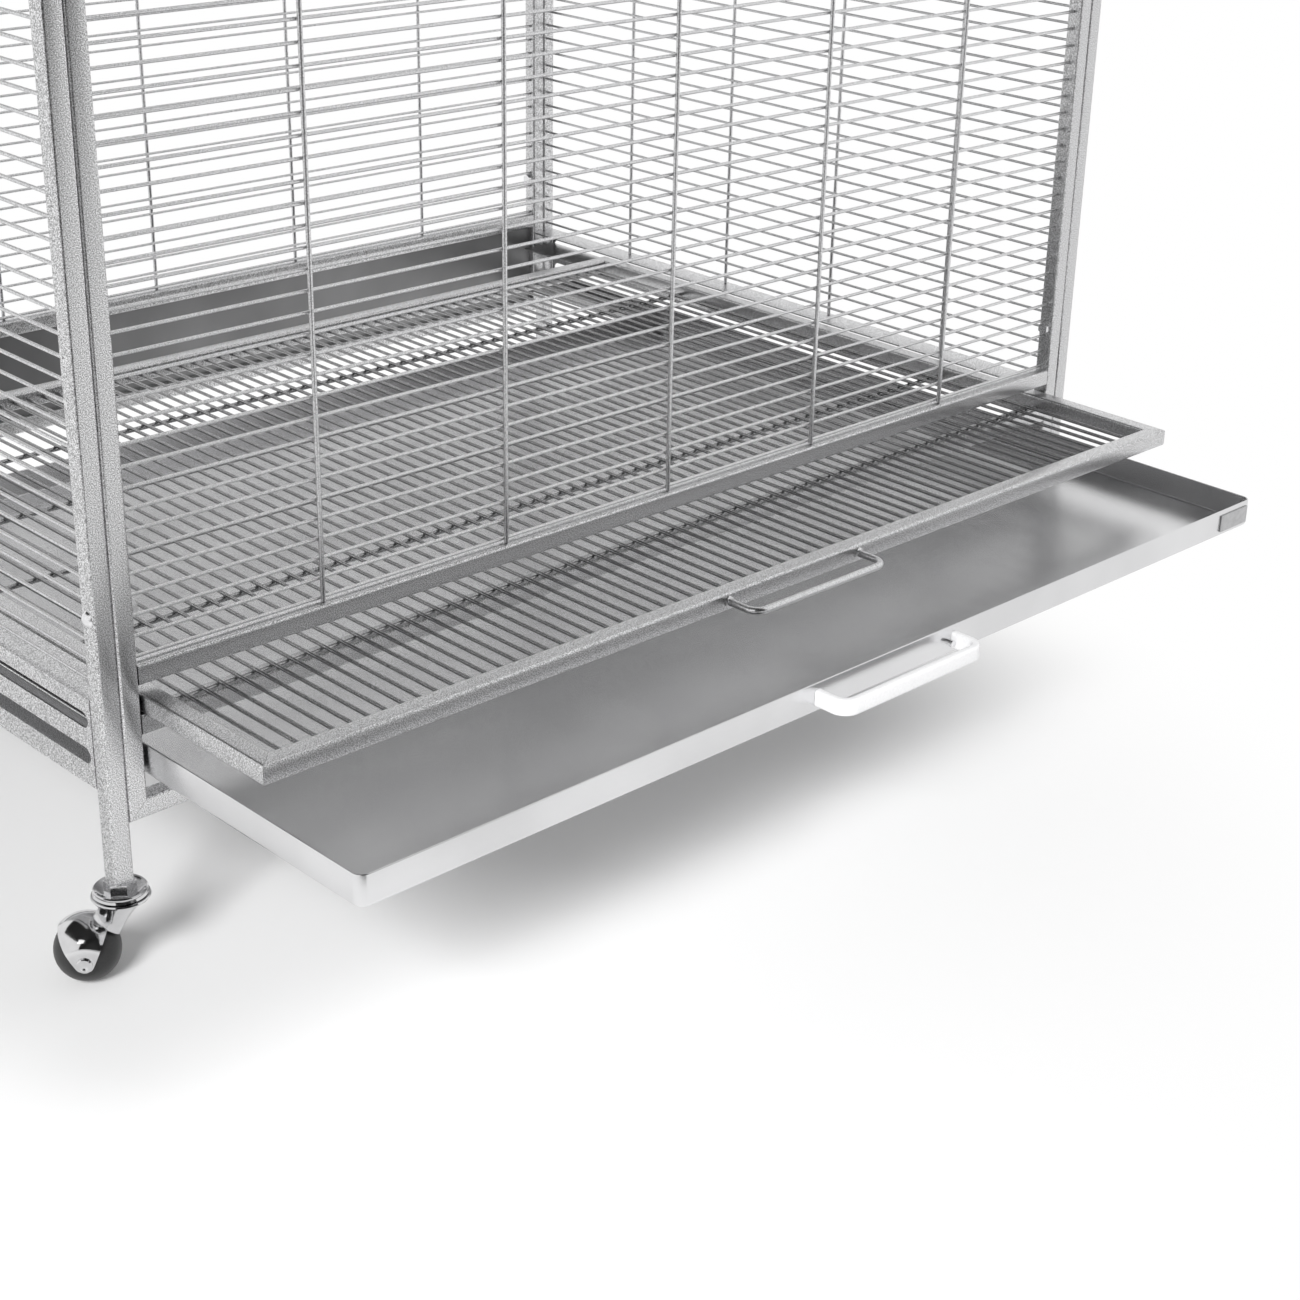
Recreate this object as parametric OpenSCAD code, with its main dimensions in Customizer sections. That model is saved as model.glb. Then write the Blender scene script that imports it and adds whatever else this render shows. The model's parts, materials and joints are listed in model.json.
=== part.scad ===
// Flight bird cage on ball casters, with a pull-out grate, a pull-out tray and two front doors.
// Origin on the floor under the cage's middle. +X right, +Y to the back, +Z up.

/* [Cage] */
// Width over the corner posts
cage_w = 890; // [700:5:1100]
// Depth over the corner posts
cage_d = 640; // [500:5:800]
// Height of the roof above the floor
cage_h = 1524; // [1300:2:1800]
// Side of the square frame tube
tube = 12.7; // [11:0.1:16]
// Wall of the frame tube
tube_wall = 1.2; // [0.8:0.1:1.6]
// Height of the front middle rail's top above the floor
mid_rail_z = 199; // [180:1:240]
// Height of the posts' lower ends above the floor
post_foot_z = 65; // [58:1:80]

/* [Mesh] */
// Spacing of the thin wires
mesh_pitch = 12.7; // [10:0.1:25.4]
// Diameter of the thin wires
wire_d = 2.2; // [1.6:0.1:3]
// Diameter of the upright wires
upright_d = 3; // [2:0.1:4]
// Bays between the upright wires of the front and the back
front_bays = 6; // [2:2:10]
// Bays between the upright wires of a side
side_bays = 5; // [2:1:8]

/* [Doors] */
// Height of the fixed front mesh between the middle rail and the doors' sill
fixed_mesh_h = 560; // [400:5:700]
// Gap round the doors
door_gap = 1.5; // [1:0.1:3]
// Length of a hinge
hinge_len = 40; // [30:1:60]
// Diameter of a hinge barrel
barrel_d = 6.4; // [5:0.1:8]
// Diameter of a hinge pin
pin_d = 3.2; // [2.5:0.1:4]
// Length of the latch lever from its pivot to its tip
latch_len = 30; // [26:1:40]

/* [Base sheets] */
// Thickness of the sheet metal of the base
sheet = 1.2; // [0.8:0.1:2]
// Drop from the middle rail's top to the side plates' top
plate_drop = 18; // [14:0.5:24]
// Height of a side plate
plate_h = 57; // [54:0.5:70]
// Width of the flange folded in along a side plate's top
flange_w = 24; // [12:0.5:24]
// Height of a side plate's slots
slot_h = 10; // [6:0.5:12]
// Distance from a side plate's top to the upper slot's top
slot_1_drop = 10; // [8:0.5:12]
// Distance from a side plate's top to the lower slot's top
slot_2_drop = 33; // [30:0.5:36]
// Distance from a post to the end of a slot
slot_end = 3; // [2:0.5:20]
// Drop from the middle rail's top to the bottom rail's top
bottom_rail_drop = 84; // [80:0.5:100]

/* [Grate] */
// Side of the grate's square bars
grate_bar = 12.7; // [10:0.1:14]
// Drop from the middle rail's top to the grate's underside
grate_drop = 31; // [29:0.1:34]
// Distance that the grate is pulled out
grate_out = 109; // [0:1:300]
// Diameter of the grate's wires
grate_wire_d = 2.6; // [2:0.1:3.5]
// Spaces between the grate's wires
grate_spaces = 66; // [40:1:80]
// Diameter of the rods under the grate's wires
stiffener_d = 3.4; // [2:0.1:4]
// Bays between those rods
grate_bays = 6; // [3:1:8]
// Diameter of the grate's bent wire handle
pull_d = 5; // [4:0.1:6]
// Length of that handle
pull_len = 124; // [80:1:160]
// Reach of that handle in front of the grate
pull_reach = 24; // [18:0.5:35]

/* [Tray] */
// Height of the tray's walls
tray_h = 20.5; // [14:0.1:30]
// Drop from the middle rail's top to the tray's underside
tray_drop = 71; // [69:0.1:74]
// Distance that the tray is pulled out
tray_out = 192; // [0:1:300]
// Radius of the tray's corners
tray_corner_r = 6.5; // [3:0.1:15]
// Length of the tray's handle
bow_len = 138; // [100:1:180]
// Reach of the tray's handle in front of the tray
bow_reach = 26; // [20:0.5:40]
// Height of the tray's handle
bow_h = 11; // [8:0.5:13]
// Thickness of the tray's handle
bow_t = 6; // [4:0.5:8]

/* [Casters] */
// Diameter of the ball wheel
wheel_d = 39.5; // [36:0.5:44]
// Distance from the swivel axis to the wheel's axle
trail = 21.5; // [17:0.5:24]
// Direction in which the front left wheel trails, counted from +X; the others balance it
trail_angle = 143; // [0:1:359]
// Diameter of the caster's swivel plate
swivel_d = 35; // [33:0.5:42]
// Diameter of the caster's stem
stem_d = 7; // [6:0.1:8]
// Diameter of the wheel's axle
axle_d = 5; // [4:0.1:6]

/* [Fasteners] */
// Diameter of the frame bolts
bolt_d = 5; // [4:0.1:6]
// Diameter of a bolt's round head
bolt_head_d = 10; // [8:0.1:12]

/* [Hidden] */
$fn = 48;
// Gap between parts that are welded together edge to edge
seam = 0.1;
// Gap between parts that move past each other
clear = 0.3;
// Radial play of a pin or a bolt in its bore
play = 0.08;
// Length by which a cut runs past the face that it cuts
over = 1;
half = 1/2;

hx = cage_w*half;
hy = cage_d*half;
post_x = hx - tube*half;
post_y = hy - tube*half;
// Panels stand between the posts
panel_hx = hx - tube;
inner_hx = panel_hx - tube;
inner_hy = hy - tube;
roof_under = cage_h - tube;
top_rail_under = roof_under - tube;
bottom_rail_z = mid_rail_z - bottom_rail_drop;
sill_z = mid_rail_z + fixed_mesh_h;
wire_r = wire_d*half;
upright_r = upright_d*half;
// Thin wires lie just inside a frame's middle plane, upright wires just outside it
wire_in = tube*half + wire_r;
upright_in = wire_in - wire_r - upright_r - seam;

// Side plates, flush with the posts' outer faces
plate_top = mid_rail_z - plate_drop;
runner_reach = hx - inner_hx + flange_w*half;
grate_z = mid_rail_z - grate_drop;
tray_z = mid_rail_z - tray_drop;

// Grate and tray, both running between the stiles
side_play = 1.5;
grate_hx = inner_hx - side_play;
tray_hx = inner_hx - side_play - play;
// Pushed in, both end just short of the back skirt and stand a little in front of the stiles
front_proud = 8;
back_gap = 1;
skirt_y = inner_hy + (tube - sheet)*half;
grate_front = -hy - front_proud - grate_out;
grate_len = skirt_y - back_gap + hy + front_proud;
tray_front = -hy - front_proud - tray_out;
tray_len = grate_len;
grate_wire_z = grate_z + grate_bar*half;
stiffener_z = grate_wire_z - grate_wire_d*half - stiffener_d*half - seam;
// Front rail that the grate slides over and the tray slides under
grate_rail_z = grate_z - clear - tube;
// The side plates' flanges stop short of the grate
flange_in = min(flange_w, hx - grate_hx - clear);

// Doors
door_z0 = sill_z + tube + door_gap;
door_z1 = top_rail_under - door_gap;
door_h = door_z1 - door_z0;
door_w = inner_hx - door_gap - door_gap*half;
barrel_r = barrel_d*half;
hinge_x = inner_hx - door_gap*half;
hinge_y = -hy - barrel_r - clear;
hinge_inset_share = 0.12;
hinge_zs = [door_z0 + door_h*hinge_inset_share, door_z1 - door_h*hinge_inset_share - hinge_len];
leaf_t = 1.2;
leaf_w = tube - leaf_t;
knuckle_share = 0.3;
knuckle = hinge_len*knuckle_share;
latch_t = 2.5;
latch_w = 9;
latch_x = door_gap*half + tube*half;
latch_z = door_z0 + door_h*half;
latch_y = -hy - clear - latch_t;
keeper_t = 1.6;
keeper_w = 8;
pivot_d = 4;
pivot_head_h = 1.8;

// Casters
wheel_r = wheel_d*half;
hood_in = wheel_r + 4*clear;
hood_t = 1.3;
hood_r = hood_in + hood_t;
hood_half_angle = 27;
hood_lean = 4;
ear_r = 5.7;
ear_steps = 8;
rivet_d = 9.5;
rivet_h = 1.4;
swivel_plate_t = 2.6;
cup_h = 4.2;
nut_h = 4.6;
dish_share = 0.25;
cup_d = 32.6;
cup_taper = 2;
cup_top_d = cup_d - cup_taper;
cup_rim = 3;
neck_share = 0.3;
wheel_width_share = 0.92;
nut_d = 19;
cup_z = post_foot_z - nut_h - cup_h;
dish_z = cup_z + cup_h*dish_share;
swivel_plate_z = cup_z - clear - swivel_plate_t;
neck_d = 17;
stem_foot = swivel_plate_z - swivel_plate_t;
stem_top = post_foot_z + 2*tube;
insert_side = tube - 2*tube_wall - 2*play;

// Bolts through the posts into the stiles, midway between two thin wires
first_wire_share = 1.18;
bolt_share = 1.5;
low_bolt_z = mid_rail_z + mesh_pitch*(first_wire_share + bolt_share);
fixed_wires = floor((fixed_mesh_h - wire_d)/mesh_pitch - first_wire_share);
bolt_zs = [low_bolt_z, mid_rail_z + mesh_pitch*(first_wire_share + fixed_wires - bolt_share)];
// Roof bolts stand in the middle of the second bay from either end of a side
roof_bolt_ys = [-hy + cage_d/side_bays*bolt_share, hy - cage_d/side_bays*bolt_share];
bolt_head_h = 2.8;
dome_r = bolt_head_d*bolt_head_d/(8*bolt_head_h) + bolt_head_h*half;
frame_nut_t = 4;
frame_nut_d = 9.2;
tray_screw_d = 4;
tray_screw_head_d = 7;
tray_screw_head_h = 1.8;
tray_screw_len = sheet + bow_t - tube_wall;
bow_foot = 12;
bow_corner_r = 12;
pull_bend_r = 9;
// Plain plate on the tray's front right corner
corner_plate_l = 34;
corner_plate_h = 13;
corner_plate_t = 1.2;

steel = "#a9a9ab";
chrome = "#d5d7da";
white = "#f2f2f0";
rubber = "#1d1d1f";

corners = ["fl", "fr", "bl", "br"];
function side_x(c) = (c == "fl" || c == "bl") ? -1 : 1;
function side_y(c) = (c == "fl" || c == "fr") ? -1 : 1;
function trail_turn(c) = side_y(c) < 0 ? -side_x(c)*trail_angle : 180 + side_x(c)*trail_angle;

// Square tube along +X from zero, its inner side towards +Z, mitred at either end on request
module bar(len, side = tube, wall = tube_wall, mitre_0 = false, mitre_1 = false) {
    reach = 2*side;
    difference() {
        cube([len, side, side]);
        translate([-over, wall, wall]) cube([len + 2*over, side - 2*wall, side - 2*wall]);
        if (mitre_0)
            translate([seam, -over, 0]) rotate([0, -45, 0])
                translate([-reach, 0, 0]) cube([2*reach, side + 2*over, reach]);
        if (mitre_1)
            translate([len - seam, -over, 0]) rotate([0, -45, 0])
                translate([0, 0, -reach]) cube([reach, side + 2*over, 2*reach]);
    }
}

// Four mitred bars round a rectangle that stands on the X axis
module mitred_frame(w, h, side = tube, wall = tube_wall) {
    bar(w, side, wall, true, true);
    translate([w, 0, 0]) rotate([0, -90, 0]) bar(h, side, wall, true, true);
    translate([w, 0, h]) rotate([0, 180, 0]) bar(w, side, wall, true, true);
    translate([0, 0, h]) rotate([0, 90, 0]) bar(h, side, wall, true, true);
}

// The same rectangle laid flat, from zero towards +Y
module flat_frame(w, l, side = tube, wall = tube_wall) {
    translate([0, 0, side]) rotate([-90, 0, 0]) mitred_frame(w, l, side, wall);
}

module rod_x(len, d) {
    rotate([0, 90, 0]) cylinder(d = d, h = len, center = true);
}

module rod_y(len, d) {
    rotate([90, 0, 0]) cylinder(d = d, h = len, center = true);
}

// Rectangle with round corners, from zero towards +Y, centred on X
module rounded(w, l, r) {
    translate([-w*half + r, 0]) square([w - 2*r, l]);
    translate([-w*half, r]) square([w, l - 2*r]);
    for (x = [-1, 1], y = [r, l - r])
        translate([x*(w*half - r), y]) circle(r);
}

// Heights of the thin wires between two rails
function wire_z(i) = mid_rail_z + mesh_pitch*(i + first_wire_share);
function wire_zs(z0, z1) = [for (i = [ceil((z0 + wire_d - mid_rail_z)/mesh_pitch - first_wire_share) :
    floor((z1 - wire_d - mid_rail_z)/mesh_pitch - first_wire_share)]) wire_z(i)];
function bay_x(i) = -panel_hx + i*2*panel_hx/front_bays;

// Mesh in the XZ plane: thin wires from x0 to x1 and upright wires at the places xs
module mesh_panel(x0, x1, z0, z1, xs, top_room = 0) {
    for (z = wire_zs(z0, z1 - top_room))
        translate([(x0 + x1)*half, wire_in, z]) rod_x(x1 - x0 - 2*seam, wire_d);
    for (x = xs)
        translate([x, upright_in, z0 + seam]) cylinder(d = upright_d, h = z1 - z0 - 2*seam);
}

// Bolt holes along X through a post or a stile
module bolt_holes() {
    for (y = [-post_y, post_y], z = bolt_zs)
        translate([0, y, z]) rod_x(cage_w + 2*over, bolt_d + 2*play);
}

module left_side_frame() {
    color(steel) difference() {
        union() {
            for (y = [-post_y, post_y])
                translate([-post_x, y, post_foot_z]) linear_extrude(roof_under - post_foot_z) difference() {
                    square(tube, center = true);
                    square(tube - 2*tube_wall, center = true);
                }
            translate([-hx + tube, -inner_hy + seam, top_rail_under])
                rotate([0, 0, 90]) bar(2*inner_hy - 2*seam);
        }
        bolt_holes();
        roof_bolt_holes();
    }
}

module right_side_frame() {
    mirror([1, 0, 0]) left_side_frame();
}

module left_side_mesh() {
    span = cage_d/side_bays;
    color(steel) translate([-hx, 0, 0]) rotate([0, 0, -90]) mesh_panel(-inner_hy, inner_hy, plate_top,
        top_rail_under, [for (i = [1 : side_bays - 1]) -hy + i*span], frame_nut_t);
}

module right_side_mesh() {
    mirror([1, 0, 0]) left_side_mesh();
}

// Sheet with two long round-ended slots and a flange folded in along its top
module left_side_plate() {
    len = 2*inner_hy - 2*seam;
    slot_l = len - 2*slot_end - slot_h;
    color(steel) translate([-hx, -inner_hy + seam, plate_top - plate_h]) {
        difference() {
            cube([sheet, len, plate_h]);
            for (drop = [slot_1_drop, slot_2_drop])
                translate([-over, slot_end + slot_h*half, plate_h - drop - slot_h*half]) {
                    translate([0, 0, -slot_h*half]) cube([sheet + 2*over, slot_l, slot_h]);
                    for (y = [0, slot_l])
                        translate([0, y, 0]) rotate([0, 90, 0]) cylinder(d = slot_h, h = sheet + 2*over);
                }
        }
        translate([0, 0, plate_h - sheet]) cube([flange_in, len, sheet]);
    }
}

module right_side_plate() {
    mirror([1, 0, 0]) left_side_plate();
}

// Shelves behind a side plate that carry the grate and the tray
module left_runners() {
    color(steel) for (z = [grate_z, tray_z])
        translate([-hx + sheet + seam, -inner_hy + seam, z - clear - sheet])
            cube([runner_reach - sheet, 2*inner_hy - 2*seam, sheet]);
}

module right_runners() {
    mirror([1, 0, 0]) left_runners();
}

// Stiles, bottom rail and rails of the front or back panel, on the front's side
module panel_frame(rail_zs) {
    foot_z = bottom_rail_z - tube;
    len = roof_under - foot_z;
    color(steel) translate([0, -hy, 0]) {
        difference() {
            union() {
                translate([-panel_hx, 0, roof_under]) rotate([0, 90, 0]) bar(len, mitre_1 = true);
                translate([panel_hx, 0, foot_z]) rotate([0, -90, 0]) bar(len, mitre_0 = true);
            }
            translate([0, hy, 0]) bolt_holes();
        }
        translate([-panel_hx, 0, foot_z]) bar(2*panel_hx, mitre_0 = true, mitre_1 = true);
        for (z = rail_zs)
            translate([-inner_hx + seam, 0, z]) bar(2*inner_hx - 2*seam);
    }
}

module front_frame() {
    panel_frame([grate_rail_z, mid_rail_z - tube, sill_z, top_rail_under]);
}

module front_mesh() {
    color(steel) translate([0, -hy, 0])
        mesh_panel(-inner_hx, inner_hx, mid_rail_z, sill_z, [for (i = [1 : front_bays - 1]) bay_x(i)]);
}

module back_frame() {
    mirror([0, 1, 0]) panel_frame([mid_rail_z - tube, top_rail_under]);
}

module back_mesh() {
    color(steel) mirror([0, 1, 0]) translate([0, -hy, 0])
        mesh_panel(-inner_hx, inner_hx, mid_rail_z, top_rail_under,
            [for (i = [1 : front_bays - 1]) bay_x(i)]);
}

// Sheet that closes the back below its middle rail
module back_skirt() {
    h = mid_rail_z - tube - bottom_rail_z;
    color(steel) translate([-inner_hx + seam, skirt_y, bottom_rail_z + seam])
        cube([2*inner_hx - 2*seam, sheet, h - 2*seam]);
}

module roof_bolt_holes() {
    for (x = [-post_x, post_x], y = roof_bolt_ys)
        translate([x, y, top_rail_under - over]) cylinder(d = bolt_d + 2*play, h = 2*tube + 2*over);
}

module roof_frame() {
    color(steel) difference() {
        translate([-hx, -hy, roof_under]) flat_frame(cage_w, cage_d);
        roof_bolt_holes();
    }
}

module roof_mesh() {
    count = floor((2*inner_hy - mesh_pitch)/mesh_pitch);
    z = roof_under + wire_in;
    color(steel) {
        for (i = [0 : count])
            translate([0, (i - count*half)*mesh_pitch, z]) rod_x(2*panel_hx - 2*seam, wire_d);
        for (i = [1 : front_bays - 1])
            translate([bay_x(i), 0, z - wire_r - upright_r - seam]) rod_y(2*inner_hy - 2*seam, upright_d);
    }
}

// Round-headed bolt along +Z, with its head's underside at zero and its shank below
module bolt(len) {
    translate([0, 0, -len]) cylinder(d = bolt_d, h = len);
    intersection() {
        cylinder(d = bolt_head_d, h = bolt_head_h);
        translate([0, 0, bolt_head_h - dome_r]) sphere(dome_r);
    }
}

module hex_nut(d, h, bore) {
    difference() {
        cylinder(d = d, h = h, $fn = 6);
        translate([0, 0, -over]) cylinder(d = bore, h = h + 2*over);
    }
}

module frame_bolts() {
    color(chrome) for (x = [-1, 1], y = [-post_y, post_y], z = bolt_zs)
        translate([x*hx, y, z]) rotate([0, x*90, 0]) bolt(2*tube + frame_nut_t);
}

module frame_nuts() {
    color(chrome) for (x = [-1, 1], y = [-post_y, post_y], z = bolt_zs)
        translate([x*inner_hx, y, z]) rotate([0, -x*90, 0])
            hex_nut(frame_nut_d, frame_nut_t, bolt_d + 2*play);
}

module roof_bolts() {
    color(chrome) for (x = [-post_x, post_x], y = roof_bolt_ys) {
        translate([x, y, cage_h]) bolt(2*tube + frame_nut_t);
        translate([x, y, top_rail_under - frame_nut_t]) hex_nut(frame_nut_d, frame_nut_t, bolt_d + 2*play);
    }
}

module grate_frame() {
    color(steel) translate([-grate_hx, grate_front, grate_z])
        flat_frame(2*grate_hx, grate_len, grate_bar);
}

module grate_wires() {
    inner = grate_hx - grate_bar;
    color(steel) for (i = [1 : grate_spaces - 1])
        translate([-inner + i*2*inner/grate_spaces, grate_front + grate_len*half, grate_wire_z])
            rod_y(grate_len - 2*grate_bar - 2*seam, grate_wire_d);
}

module grate_stiffeners() {
    span = (grate_len - 2*grate_bar)/grate_bays;
    color(steel) for (i = [1 : grate_bays - 1])
        translate([0, grate_front + grate_bar + i*span, stiffener_z])
            rod_x(2*(grate_hx - grate_bar) - 2*seam, stiffener_d);
}

// Bent wire across the front bar
module grate_handle() {
    r = pull_bend_r;
    arm = pull_len*half;
    color(steel) translate([0, grate_front - seam, grate_z + grate_bar*half]) {
        translate([0, -pull_reach, 0]) rod_x(pull_len - 2*r, pull_d);
        for (x = [-1, 1]) {
            translate([x*arm, 0, 0]) rotate([90, 0, 0]) cylinder(d = pull_d, h = pull_reach - r);
            translate([x*(arm - r), r - pull_reach, 0]) rotate([0, 0, x > 0 ? -90 : 180])
                rotate_extrude(angle = 90) translate([r, 0]) circle(d = pull_d);
        }
    }
}

// Sheet pan: a floor, then walls and round corners on it, drilled for its handle's screws
module tray_pan() {
    wall_z = tray_z + sheet + seam;
    color("#b4b5b8") {
        translate([0, tray_front, tray_z]) linear_extrude(sheet)
            rounded(2*tray_hx, tray_len, tray_corner_r);
        difference() {
            translate([0, tray_front, wall_z]) linear_extrude(tray_z + tray_h - wall_z) difference() {
                rounded(2*tray_hx, tray_len, tray_corner_r);
                translate([0, sheet])
                    rounded(2*(tray_hx - sheet), tray_len - 2*sheet, tray_corner_r - sheet);
            }
            for (x = [-1, 1])
                translate([x*(tray_hx - tray_corner_r) - seam*half, tray_front - over, tray_z])
                    cube([seam, tray_len + 2*over, 2*tray_h]);
            for (y = [tray_corner_r, tray_len - tray_corner_r])
                translate([-tray_hx - over, tray_front + y - seam*half, tray_z])
                    cube([2*(tray_hx + over), seam, 2*tray_h]);
            tray_screw_places() rod_y(2*bow_t, tray_screw_d + 2*play);
        }
    }
}

module tray_screw_places() {
    for (x = [-1, 1])
        translate([x*(bow_len - bow_t - bow_foot)*half, tray_front, tray_z + tray_h*half]) children();
}

// Flat plastic bow with a foot at either end
module tray_handle() {
    inner_r = bow_corner_r - bow_t;
    color(white) difference() {
        translate([0, tray_front - seam, tray_z + (tray_h - bow_h)*half]) {
            linear_extrude(bow_h) intersection() {
                translate([0, -bow_reach]) difference() {
                    rounded(bow_len, 2*bow_reach, bow_corner_r);
                    translate([0, bow_t]) rounded(bow_len - 2*bow_t, 2*bow_reach - 2*bow_t, inner_r);
                }
                translate([-bow_len*half, -bow_reach]) square([bow_len, bow_reach]);
            }
            for (x = [-1, 1])
                translate([x*(bow_len - bow_foot - bow_t)*half - bow_foot*half, -bow_t, 0])
                    cube([bow_foot, bow_t, bow_h]);
        }
        tray_screw_places() rod_y(2*tray_screw_len, tray_screw_d + 2*play);
    }
}

// Screws from inside the tray into the handle's feet
module tray_screws() {
    color(chrome) tray_screw_places() {
        translate([0, sheet, 0]) rotate([90, 0, 0]) cylinder(d = tray_screw_d, h = tray_screw_len);
        translate([0, sheet + tray_screw_head_h, 0]) rotate([90, 0, 0])
            cylinder(d = tray_screw_head_d, h = tray_screw_head_h);
    }
}

module tray_corner_plate() {
    color(chrome) translate([tray_hx - tray_corner_r - corner_plate_l, tray_front - seam - corner_plate_t,
            tray_z + (tray_h - corner_plate_h)*half])
        cube([corner_plate_l, corner_plate_t, corner_plate_h]);
}

module left_door_frame() {
    color(steel) translate([-inner_hx + door_gap, -hy, door_z0]) mitred_frame(door_w, door_h);
}

module left_door_mesh() {
    color(steel) translate([0, -hy, 0])
        mesh_panel(-inner_hx + door_gap + tube, -door_gap*half - tube, door_z0 + tube, door_z1 - tube,
            [for (i = [1 : front_bays*half - 1]) bay_x(i)]);
}

module right_door_frame() {
    color(steel) difference() {
        mirror([1, 0, 0]) left_door_frame();
        translate([latch_x, -hy, latch_z]) rod_y(tube, pivot_d + 2*play);
    }
}

module right_door_mesh() {
    mirror([1, 0, 0]) left_door_mesh();
}

// One leaf of a left-hand hinge in the hinge's own frame, its axis along +Z, its plate towards
// dir on X. The outer leaf has two end knuckles, the inner one the knuckle between them.
module leaf(dir, outer) {
    back = barrel_r + clear;
    ends = [[0, knuckle], [hinge_len - knuckle, hinge_len]];
    middle = [[knuckle + clear, hinge_len - knuckle - clear]];
    own = outer ? ends : middle;
    start = barrel_r + clear;
    difference() {
        union() {
            translate([dir > 0 ? start : -leaf_w, back - leaf_t, 0])
                cube([leaf_w - start, leaf_t, hinge_len]);
            for (k = own) translate([0, 0, k[0]]) {
                cylinder(d = barrel_d, h = k[1] - k[0]);
                translate([dir > 0 ? 0 : -start - seam, back - leaf_t, 0])
                    cube([start + seam, leaf_t, k[1] - k[0]]);
            }
        }
        translate([0, 0, -over]) cylinder(d = pin_d + 2*play, h = hinge_len + 2*over);
    }
}

module left_hinge_places() {
    for (z = hinge_zs) translate([-hinge_x, hinge_y, z]) children();
}

module left_door_leaves() {
    color(chrome) left_hinge_places() leaf(1, false);
}

module right_door_leaves() {
    mirror([1, 0, 0]) left_door_leaves();
}

// Leaves on the front panel's stiles
module hinge_leaves() {
    color(chrome) for (m = [0, 1]) mirror([m, 0, 0]) left_hinge_places() leaf(-1, true);
}

module hinge_pins() {
    color(chrome) for (m = [0, 1]) mirror([m, 0, 0]) left_hinge_places() {
        cylinder(d = pin_d, h = hinge_len);
        translate([0, 0, hinge_len]) cylinder(d = barrel_d - 2*clear, h = leaf_t);
    }
}

// Turn lever that stands up when it is open and drops into the keeper when it is shut
module latch_lever() {
    color(chrome) translate([latch_x, latch_y + latch_t, latch_z]) rotate([90, 0, 0]) difference() {
        linear_extrude(latch_t) {
            circle(d = latch_w);
            translate([-latch_w*half, 0]) square([latch_w, latch_len - latch_w*half]);
            translate([0, latch_len - latch_w*half]) circle(d = latch_w);
        }
        translate([0, 0, -over]) cylinder(d = pivot_d + 2*play, h = latch_t + 2*over);
    }
}

module latch_pivot() {
    color(chrome) translate([latch_x, -hy, latch_z]) rotate([90, 0, 0]) {
        translate([0, 0, -tube_wall]) cylinder(d = pivot_d, h = tube_wall + latch_t + 2*clear);
        translate([0, 0, latch_t + 2*clear]) cylinder(d = latch_w - 2*clear, h = pivot_head_h);
    }
}

// Hook on the left door, open at its top
module latch_keeper() {
    depth = latch_t + 2*clear + keeper_t;
    floor_z = latch_z - latch_w*half - clear;
    keeper_x = -door_gap*half - tube*half - keeper_w*half;
    color(chrome) translate([keeper_x, -hy - seam - depth, floor_z - keeper_t]) {
        cube([keeper_w, depth, keeper_t]);
        cube([keeper_w, keeper_t, keeper_t + latch_w*half]);
    }
}

module at_corner(c) {
    translate([side_x(c)*post_x, side_y(c)*post_y, 0]) rotate([0, 0, trail_turn(c)]) children();
}

module caster_inserts() {
    color(rubber) for (c = corners)
        translate([side_x(c)*post_x, side_y(c)*post_y, post_foot_z + seam]) difference() {
            linear_extrude(stem_top - post_foot_z) square(insert_side, center = true);
            translate([0, 0, -over]) cylinder(d = stem_d + 2*play, h = stem_top);
        }
}

module caster_stems() {
    color(chrome) for (c = corners) at_corner(c)
        translate([0, 0, stem_foot]) cylinder(d = stem_d, h = stem_top - stem_foot);
}

module caster_nuts() {
    color(chrome) for (c = corners) at_corner(c)
        translate([0, 0, dish_z]) hex_nut(nut_d, post_foot_z - dish_z, stem_d + 2*play);
}

// Dished upper raceway with the nut in its dish
module caster_cups() {
    color(chrome) for (c = corners) at_corner(c) difference() {
        translate([0, 0, cup_z]) cylinder(d1 = cup_d, d2 = cup_top_d, h = cup_h);
        translate([0, 0, dish_z])
            cylinder(d1 = nut_d + clear, d2 = cup_top_d - cup_rim, h = cup_z + cup_h - dish_z);
        translate([0, 0, dish_z]) cylinder(d = nut_d + clear, h = cup_h);
        cylinder(d = stem_d + 2*play, h = cage_h);
    }
}

// Outline of the hood along the axle: round ears that widen upwards into the dome
module hood_outline() {
    a = hood_half_angle + hood_lean;
    b = hood_half_angle - hood_lean;
    far = 2*hood_r;
    turn = 180 - a - b;
    ear = [for (i = [0 : ear_steps]) let (t = 180 + b + i*turn/ear_steps) ear_r*[cos(t), sin(t)]];
    polygon(concat(ear, [ear[ear_steps] + far*[sin(a), cos(a)], ear[0] + far*[-sin(b), cos(b)]]));
}

// Dome with two ears for the axle, on a neck under the swivel plate
module caster_hood(c) {
    neck_foot = wheel_r + hood_r*half;
    color(chrome) at_corner(c) {
        translate([trail, 0, wheel_r]) difference() {
            intersection() {
                sphere(hood_r, $fn = 72);
                rotate([90, 0, 0]) linear_extrude(4*hood_r, center = true) hood_outline();
            }
            sphere(hood_in, $fn = 72);
            rod_y(4*hood_r, axle_d + 2*play);
        }
        difference() {
            union() {
                translate([neck_d*neck_share, 0, neck_foot])
                    cylinder(d = neck_d, h = swivel_plate_z - neck_foot + swivel_plate_t*half);
                translate([0, 0, swivel_plate_z]) cylinder(d = swivel_d, h = swivel_plate_t);
            }
            translate([trail, 0, wheel_r]) sphere(hood_in + hood_t*half, $fn = 72);
            translate([0, 0, stem_foot - clear]) cylinder(d = stem_d + 2*play, h = cage_h);
        }
    }
}

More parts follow.
